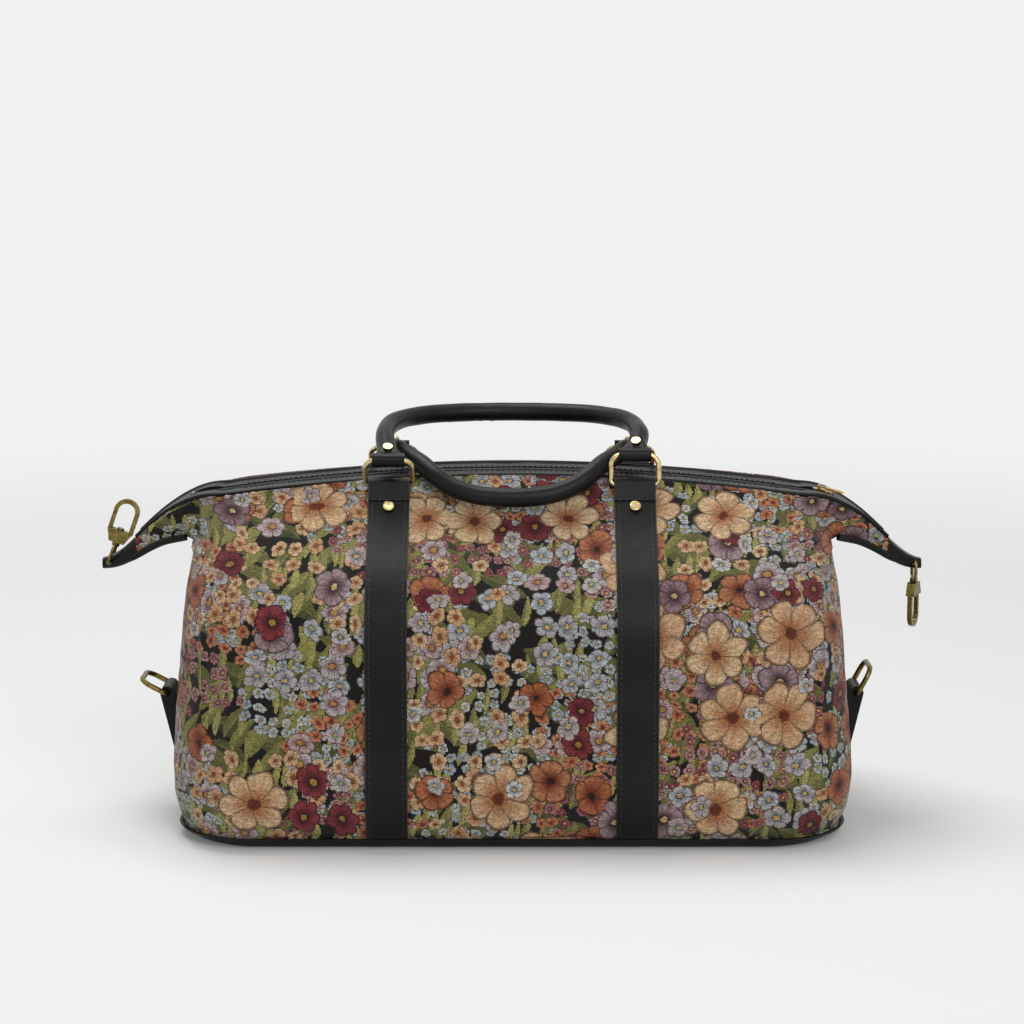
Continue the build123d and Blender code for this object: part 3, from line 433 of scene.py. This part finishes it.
def joined(name):
    """Edit mesh of a CAD node with its loose triangles joined."""
    work = bmesh.new()
    work.from_mesh(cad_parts[name].data)
    bmesh.ops.remove_doubles(work, verts=work.verts, dist=2e-6)
    work.faces.layers.int.new("mark")
    return work


def refine(work, longest, faces=None):
    """Divides edges until none of those faces has one longer than this."""
    mark = work.faces.layers.int["mark"]
    for face in (faces if faces is not None else work.faces):
        face[mark] = 1
    for _ in range(8):
        edges = [e for e in work.edges if e.calc_length() > longest and any(f[mark] for f in e.link_faces)]
        if not edges:
            break
        bmesh.ops.subdivide_edges(work, edges=edges, cuts=1)
        bmesh.ops.triangulate(work, faces=[f for f in work.faces if len(f.verts) > 3])
    return mark


def islands(work):
    """Groups of faces that meet without a sharp edge."""
    seen, groups = set(), []
    for first in work.faces:
        if first.index in seen:
            continue
        group, queue = [], [first]
        seen.add(first.index)
        while queue:
            face = queue.pop()
            group.append(face)
            for edge in face.edges:
                if len(edge.link_faces) != 2 or edge.calc_face_angle(0) > 0.7:
                    continue
                for other in edge.link_faces:
                    if other.index not in seen:
                        seen.add(other.index)
                        queue.append(other)
        groups.append(group)
    return groups


def outer_faces(work):
    """Faces of the outside of a panel, found by the way that its large smooth areas look."""
    found = []
    for group in islands(work):
        area = sum(f.calc_area() for f in group)
        outward = 0.0
        for face in group:
            p = face.calc_center_median()
            core = Vector((max(-0.19, min(0.19, p.x)), 0, max(0.06, min(0.15, p.z))))
            outward += face.calc_area() * face.normal.dot((p - core).normalized())
        if area > 0.0015 and outward > 0:
            found += group
    return found


def half_depth(z):
    """Half depth of the body at a height."""
    return np.interp(z, [p[0] for p in PROFILE], [p[1] for p in PROFILE])


def cloth_place(points):
    """Where each point lies on the flat cloth, in millimetres: round the bag, and up its side."""
    x, y, z = points.T
    heights = np.array([p[0] for p in PROFILE])
    depths = np.array([p[1] for p in PROFILE])
    runs = np.concatenate([[0], np.cumsum(np.hypot(np.diff(heights), np.diff(depths)))])
    up = np.interp(z, heights, runs)
    straight = np.maximum(half_depth(np.minimum(z, 0.19)) - PLAN_CORNER, 0.0)
    corner = PLAN_CORNER * math.pi / 2
    dx = np.abs(x) - END_STRAIGHT
    dy = np.abs(y) - straight
    on_end = END_STRAIGHT + corner + np.maximum(straight - np.abs(y), 0)
    on_corner = END_STRAIGHT + PLAN_CORNER * np.arctan2(np.maximum(dx, 1e-6), np.maximum(dy, 1e-6))
    round_front = np.where(dx <= 0, np.abs(x), np.where(dy <= 0, on_end, on_corner))
    # the roof and the wings lie flat as seen from the front
    roof = (z > 0.205) | (np.abs(x) > 0.262)
    round_front = np.where(roof, np.abs(x), round_front)
    whole = 2 * (END_STRAIGHT + corner + straight)
    round_all = np.where(y > 0, whole - round_front, round_front)
    return np.stack([np.sign(x) * round_all * 1000 + 700, up * 1000, np.zeros(len(x))], axis=1)


def soft_wave(points, size, seed):
    """Smooth random field from -1 to 1 with bumps of about this size."""
    waves = np.random.default_rng(seed)
    total = np.zeros(len(points))
    for _ in range(9):
        way = waves.normal(size=3)
        way *= 2 * math.pi / size / np.linalg.norm(way) * waves.uniform(0.6, 1.3)
        total += np.sin(points @ way + waves.uniform(0, 6.28))
    return total / 4.5


def mesh_arrays(work):
    """Points, normals and faces of an edit mesh."""
    work.verts.index_update()
    work.normal_update()
    points = np.array([v.co[:] for v in work.verts])
    normals = np.array([v.normal[:] for v in work.verts])
    return points, normals, [[v.index for v in f.verts] for f in work.faces]


FOLD = 0.5                 # a sharper edge than this, in radians, is a seam and stays where it is
CLOTH_EDGE = 0.0065        # longest edge of the cloth's mesh
SMOOTHING = 8              # rounds of smoothing over the cloth


def tapestry_panel(name, label):
    """Panel of a CAD node with dense cloth outside, slightly slack between its seams."""
    work = joined(name)
    skin = outer_faces(work)
    mark = refine(work, CLOTH_EDGE, skin)
    work.verts.index_update()
    free = np.array([
        all(f[mark] for f in v.link_faces)
        and all(e.calc_face_angle(0) < FOLD for e in v.link_edges if len(e.link_faces) == 2)
        for v in work.verts])
    points, normals, faces = mesh_arrays(work)
    ends = np.array([[e.verts[0].index, e.verts[1].index] for e in work.edges])
    for _ in range(SMOOTHING):
        total = np.zeros_like(points)
        count = np.zeros(len(points))
        np.add.at(total, ends[:, 0], points[ends[:, 1]])
        np.add.at(total, ends[:, 1], points[ends[:, 0]])
        np.add.at(count, ends.ravel(), 1)
        middle = total / count[:, None]
        points[free] += 0.5 * (middle - points)[free]
    slack = 0.0011 * (soft_wave(points, 0.085, 5) - 1) + 0.00035 * (soft_wave(points, 0.022, 9) - 1)
    near_strap = np.clip((np.abs(np.abs(points[:, 0]) - STRAP_X) - STRAP_HALF) / 0.02, 0.25, 1)
    points[free] += (normals * (slack * near_strap)[:, None])[free]
    work.free()
    piece = new_piece(label, points, faces, tapestry, "bag", "tapestry", name)
    place = piece.data.attributes.new("cloth", "FLOAT_VECTOR", "POINT")
    place.data.foreach_set("vector", cloth_place(points).astype(np.float32).ravel())
    return piece


for panel in ("front_panel", "back_panel", "left_end_panel", "right_end_panel"):
    tapestry_panel(panel, "tapestry_" + panel)


def leather_piece(name, label, finish, body="bag", slot="black_leather", longest=0.004, swell=0.0, seed=1):
    """Leather copy of a CAD node with softened edges and faint unevenness."""
    work = joined(name)
    bmesh.ops.dissolve_limit(work, angle_limit=math.radians(1), verts=work.verts, edges=work.edges)
    bmesh.ops.triangulate(work, faces=work.faces)
    refine(work, longest)
    points, normals, faces = mesh_arrays(work)
    points += normals * (swell * (soft_wave(points, 0.03, seed) - 1))[:, None]
    work.free()
    return new_piece(label, points, faces, finish, body, slot, name)


for i, side in enumerate(("front_left", "front_right", "rear_left", "rear_right")):
    leather_piece("strap_" + side, "leather_strap_" + side, strap_calf, swell=0.00012, seed=30 + i)
for i, side in enumerate(("left", "right")):
    leather_piece("wing_tip_" + side, "leather_wing_tip_" + side, glossy_calf,
                  longest=0.003, swell=0.0002, seed=40 + i)
    leather_piece("side_tab_" + side, "leather_side_tab_" + side, calf,
                  longest=0.003, swell=0.0002, seed=50 + i)
for i, side in enumerate(("front", "rear")):
    leather_piece("zip_gusset_" + side, "leather_gusset_" + side, calf,
                  longest=0.006, swell=0.0002, seed=60 + i)
    leather_piece("handle_" + side, "rolled_handle_" + side, rolled_calf,
                  body="handle_" + side, longest=0.004, swell=0.0002, seed=70 + i)
    leather_piece("zip_tape_" + side, "woven_zip_tape_" + side, tape, slot="zip_tape", longest=0.02)
leather_piece("base_panel", "leather_base", calf, longest=0.01, swell=0.0001, seed=80)
leather_piece("base_welt", "leather_base_welt", calf, longest=0.01, swell=0.0001, seed=81)


# Tubes and repeats

def tree_of(*names):
    """Surface of some CAD nodes, for finding where things lie on it."""
    points, faces = [], []
    for name in names:
        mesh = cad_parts[name].data
        start = len(points)
        points += [v.co.copy() for v in mesh.vertices]
        faces += [[start + i for i in p.vertices] for p in mesh.polygons]
    return BVHTree.FromPolygons(points, faces)


def spaced(points, step):
    """Places at an even step along a line of points, and the way that the line runs there."""
    points = np.array(points)
    runs = np.concatenate([[0], np.cumsum(np.linalg.norm(np.diff(points, axis=0), axis=1))])
    marks = np.arange(step / 2, runs[-1], step)
    places, ahead, behind = (
        np.stack([np.interp(np.clip(marks + shift, 0, runs[-1]), runs, part) for part in points.T], axis=1)
        for shift in (0, 0.001, -0.001))
    ways = ahead - behind
    return places, ways / np.linalg.norm(ways, axis=1)[:, None]


def tube(name, points, radius, finish, slot="black_leather", body="bag"):
    """Round tube along a smooth line, closed at both ends."""
    curve = bpy.data.curves.new(name, "CURVE")
    curve.dimensions = "3D"
    curve.bevel_depth = radius
    curve.bevel_resolution = 3
    curve.use_fill_caps = True
    spline = curve.splines.new("POLY")
    spline.points.add(len(points) - 1)
    for point, place in zip(spline.points, points):
        point.co = (*place, 1)
    holder = bpy.data.objects.new(name + "_line", curve)
    bpy.context.scene.collection.objects.link(holder)
    mesh = bpy.data.meshes.new_from_object(holder.evaluated_get(bpy.context.evaluated_depsgraph_get()))
    bpy.data.objects.remove(holder)
    work = bmesh.new()
    work.from_mesh(mesh)
    bmesh.ops.remove_doubles(work, verts=work.verts, dist=1e-7)
    bmesh.ops.recalc_face_normals(work, faces=work.faces)
    places, _, faces = mesh_arrays(work)
    work.free()
    bpy.data.meshes.remove(mesh)
    return new_piece(name, places, faces, finish, body, slot)


def repeats(name, bead, places, ways, ups, finish, slot, body="bag", *nodes):
    """One mesh of copies of a bead, each along its way with its top up."""
    points, faces = [], []
    shape, sides = bead
    for place, way, up in zip(places, ways, ups):
        across = np.cross(up, way)
        across /= np.linalg.norm(across)
        top = np.cross(way, across)
        start = len(points)
        points += list(place + shape @ np.array([way, across, top]))
        faces += [[start + i for i in side] for side in sides]
    return new_piece(name, points, faces, finish, body, slot, *nodes)


def bead_of(make, size):
    """Points and faces of a primitive stretched to a size."""
    bpy.ops.object.select_all(action="DESELECT")
    make()
    made = bpy.context.object
    shape = np.array([v.co[:] for v in made.data.vertices]) * np.array(size)
    sides = [list(p.vertices) for p in made.data.polygons]
    bpy.data.objects.remove(made)
    return shape, sides


def rounded_cube():
    """Cube with bevelled edges."""
    bpy.ops.mesh.primitive_cube_add(size=2)
    bpy.ops.object.mode_set(mode="EDIT")
    bpy.ops.mesh.select_all(action="SELECT")
    bpy.ops.mesh.bevel(offset=0.5, segments=1, affect="EDGES")
    bpy.ops.object.mode_set(mode="OBJECT")


def small_ball():
    """Ball of few faces."""
    bpy.ops.mesh.primitive_uv_sphere_add(segments=6, ring_count=4, radius=1)


def evened(line, rounds):
    """The line with its inner points drawn towards their neighbours."""
    for _ in range(rounds):
        line[1:-1] = 0.25 * line[:-2] + 0.5 * line[1:-1] + 0.25 * line[2:]
    return line


def arch(x, rise=0.0):
    """Height of the zip line, or of a line that rises above it, at a place along the bag."""
    return ARCH_TOP - ARCH_RADIUS + math.sqrt((ARCH_RADIUS + rise) ** 2 - x * x)


STITCH_PITCH = 0.0041
STITCH_IN = 0.0033         # from a strap's edge to its stitches
LOOP_STITCHES = (0.2503, 0.2528)   # heights of the rows across a strap, under its loop
GUSSET_STITCHES = (0.0118, 0.0292)   # from the middle of the zip
COIL_PITCH = 0.0016
UP = np.array([0, 0, 1.0])

stitch = bead_of(small_ball, (0.0015, 0.0004, 0.00035))
tooth = bead_of(rounded_cube, (0.00055, 0.0011, 0.0012))


def strap_stitches(face, word, side, sign):
    """Stitches down both sides of a strap, and two rows across it under its loop."""
    surface = tree_of(f"strap_{face}_{word}")
    outside = side * 0.2
    inward = Vector((0, -side, 0))
    places, ways, ups = [], [], []
    for shift in (STITCH_IN - STRAP_HALF, STRAP_HALF - STITCH_IN):
        line = []
        for z in np.arange(0.013, 0.2545, 0.001):
            hit = surface.ray_cast(Vector((sign * STRAP_X + shift, outside, z)), inward)
            if hit[0] is not None:
                line.append(hit[0][:])
        for place, way in zip(*spaced(line, STITCH_PITCH)):
            near = surface.find_nearest(Vector(place))
            places.append(np.array(near[0][:]) + np.array(near[1][:]) * 0.00005)
            ways.append(way)
            ups.append(np.array(near[1][:]))
    for z in LOOP_STITCHES:
        for shift in np.arange(-0.0105, 0.011, 0.0038):
            hit = surface.ray_cast(Vector((sign * STRAP_X + shift, outside, z)), inward)
            if hit[0] is not None:
                places.append(np.array(hit[0][:]))
                ways.append(np.array([1.0, 0, 0]))
                ups.append(np.array(hit[1][:]))
    repeats(f"strap_stitches_{face}_{word}", stitch, places, ways, ups, waxed_thread, "black_leather")


# place along the bag and half width of the seam between panel and gusset
SEAM = [(0, GUSSET_HALF), (0.215, GUSSET_HALF), (0.243, 0.029), (0.264, 0.022), (0.287, 0.0134)]
SEAM_END = SEAM[-1][0]
top_surface = tree_of("zip_gusset_front", "zip_gusset_rear", "front_panel", "back_panel")


def gusset_trim(word, side):
    """Rolled edge along a panel, and rows of stitches beside the zip and beside that edge."""
    line = []
    for x in np.linspace(-SEAM_END, SEAM_END, 145):
        y = side * np.interp(abs(x), [s[0] for s in SEAM], [s[1] for s in SEAM])
        hit = top_surface.ray_cast(Vector((x, y - side * 0.0006, 0.35)), Vector((0, 0, -1)))
        line.append((x, y, hit[0].z - 0.0004))
    tube(f"gusset_rolled_edge_{word}", evened(np.array(line), 3), 0.0017, calf)
    places, ways = [], []
    for y in GUSSET_STITCHES:
        row = [(x, side * y, arch(x)) for x in np.linspace(-0.205, 0.205, 200)]
        for place, way in zip(*spaced(row, STITCH_PITCH)):
            places.append(place)
            ways.append(way)
    ups = [UP] * len(places)
    repeats(f"gusset_stitches_{word}", stitch, places, ways, ups, waxed_thread, "black_leather")


def zip_coil(word, side):
    """Row of nylon teeth on one side of the zip."""
    line = [(x, side * 0.00135, arch(x, -0.0013)) for x in np.linspace(-ZIP_END, ZIP_END, 400)]
    places, ways = spaced(line, COIL_PITCH)
    repeats(f"zip_coil_{word}", tooth, places, ways, [UP] * len(places), nylon, "zip_teeth", "bag",
            f"zip_teeth_{word}")


def wing_binding(word, sign, face, side):
    """Leather binding along the lower edge of a wing, on one face of it."""
    line = np.array([(sign * x, side * (w - 0.0006), z + 0.0026) for x, z, w in WING])
    marks = np.linspace(0, len(line) - 1, 30)
    path = np.stack([np.interp(marks, range(len(line)), column) for column in line.T], axis=1)
    tube(f"wing_binding_{word}_{face}", evened(path, 6), 0.0027, glossy_calf)


for face, side in (("front", -1), ("rear", 1)):
    for word, sign in (("left", -1), ("right", 1)):
        strap_stitches(face, word, side, sign)
for word, side in (("front", -1), ("rear", 1)):
    gusset_trim(word, side)
    zip_coil(word, side)
for word, sign in (("left", -1), ("right", 1)):
    for face, side in (("front", -1), ("rear", 1)):
        wing_binding(word, sign, face, side)


# Metal and other rigid nodes keep their shapes

def finish_node(name, finish):
    """Gives a CAD node its material."""
    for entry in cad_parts[name].material_slots:
        entry.link = "OBJECT"
        entry.material = finish


for starts, finish in (
    (("handle_ring", "strap_rivets", "handle_rivets", "zip_stops"), pale_brass),
    (("side_ring", "snap_"), old_brass),
    (("zip_slider", "zip_puller"), gold_brass),
    (("base_board",), fibre_board),
):
    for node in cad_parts:
        if node.startswith(starts):
            finish_node(node, finish)


# Studio: pale floor and background, one large soft light above and a little behind, and a soft front light

WHITE_LEVEL = 0.8796       # linear value of the background's white, F1F1F1


def seen_directly(tree):
    """1 for what the camera sees, also by way of metal or glass, and 0 for light on the object."""
    rays = add(tree, "ShaderNodeLightPath").outputs
    first = add(tree, MATH, {"operation": "MAXIMUM"}, {0: rays["Is Camera Ray"], 1: rays["Is Glossy Ray"]})
    both = {0: first.outputs[0], 1: rays["Is Transmission Ray"]}
    return add(tree, MATH, {"operation": "MAXIMUM"}, both).outputs[0]


def pale_floor():
    """Matt paper sweep: almost white to the eye, and it keeps the shadow."""
    made, tree, shader = material("studio paper")
    shader.inputs["Roughness"].default_value = 0.9
    shader.inputs["Base Color"].default_value = srgb("F2F2F2")
    grain = add(tree, NOISE, None, {"Scale": 400.0}).outputs[0]
    bump = add(tree, BUMP, None, {"Strength": 0.05, "Distance": 0.0002, "Height": grain}).outputs[0]
    tree.links.new(bump, shader.inputs["Normal"])
    # near the object the paper shows its shadow, and far off it is the background's even white
    here = add(tree, COORDINATES).outputs["Object"]
    away = add(tree, VECTOR, {"operation": "LENGTH"}, {0: here}).outputs["Value"]
    fade = add(tree, RANGE, SMOOTH, {0: away, 1: 0.2, 2: 2.2, 3: 0.1, 4: 1.0}).outputs[0]
    part = add(tree, MATH, {"operation": "MULTIPLY"}, {0: seen_directly(tree), 1: fade}).outputs[0]
    glow = add(tree, "ShaderNodeEmission", None, {"Color": srgb("F1F1F1"), "Strength": 1.0}).outputs[0]
    mixed = add(tree, "ShaderNodeMixShader", None, {0: part, 1: shader.outputs[0], 2: glow}).outputs[0]
    tree.links.new(mixed, tree.nodes["Material Output"].inputs[0])
    return made


bpy.ops.object.select_all(action="DESELECT")
bpy.ops.mesh.primitive_plane_add(size=14, location=(0, 0, 0))
floor = bpy.context.object
floor.name = "studio_floor"
floor.data.materials.append(pale_floor())

scene = bpy.context.scene
scene.view_settings.view_transform = "Standard"
world = bpy.data.worlds.new("studio")
scene.world = world
world.use_nodes = True
sky = world.node_tree
level = add(sky, RANGE, None, {0: seen_directly(sky), 3: 0.34, 4: WHITE_LEVEL}).outputs[0]
sky.links.new(level, sky.nodes["Background"].inputs["Strength"])
sky.nodes["Background"].inputs["Color"].default_value = (1, 1, 1, 1)


def soft_light(name, place, aim, size, power):
    """Large square lamp that looks at a point."""
    lamp = bpy.data.lights.new(name, "AREA")
    lamp.size = size
    lamp.energy = power
    holder = bpy.data.objects.new(name, lamp)
    holder.location = place
    holder.rotation_euler = (Vector(aim) - Vector(place)).to_track_quat("-Z", "Y").to_euler()
    scene.collection.objects.link(holder)


soft_light("top_light", (-0.35, 0.3, 1.9), (0, 0, 0.1), size=1.1, power=22)
soft_light("front_light", (0.7, -2.1, 1.5), (0, 0, 0.15), size=1.4, power=22)

# the photograph's view: from the front, a little above the handles and looking slightly down
camera_data = bpy.data.cameras.new("camera")
camera_data.sensor_width = 36
camera_data.lens = 93.2
camera = bpy.data.objects.new("camera", camera_data)
camera.location = (0, -2.010, 0.567)
camera.rotation_euler = (math.radians(90 - 9.4), 0, 0)
scene.collection.objects.link(camera)
scene.camera = camera
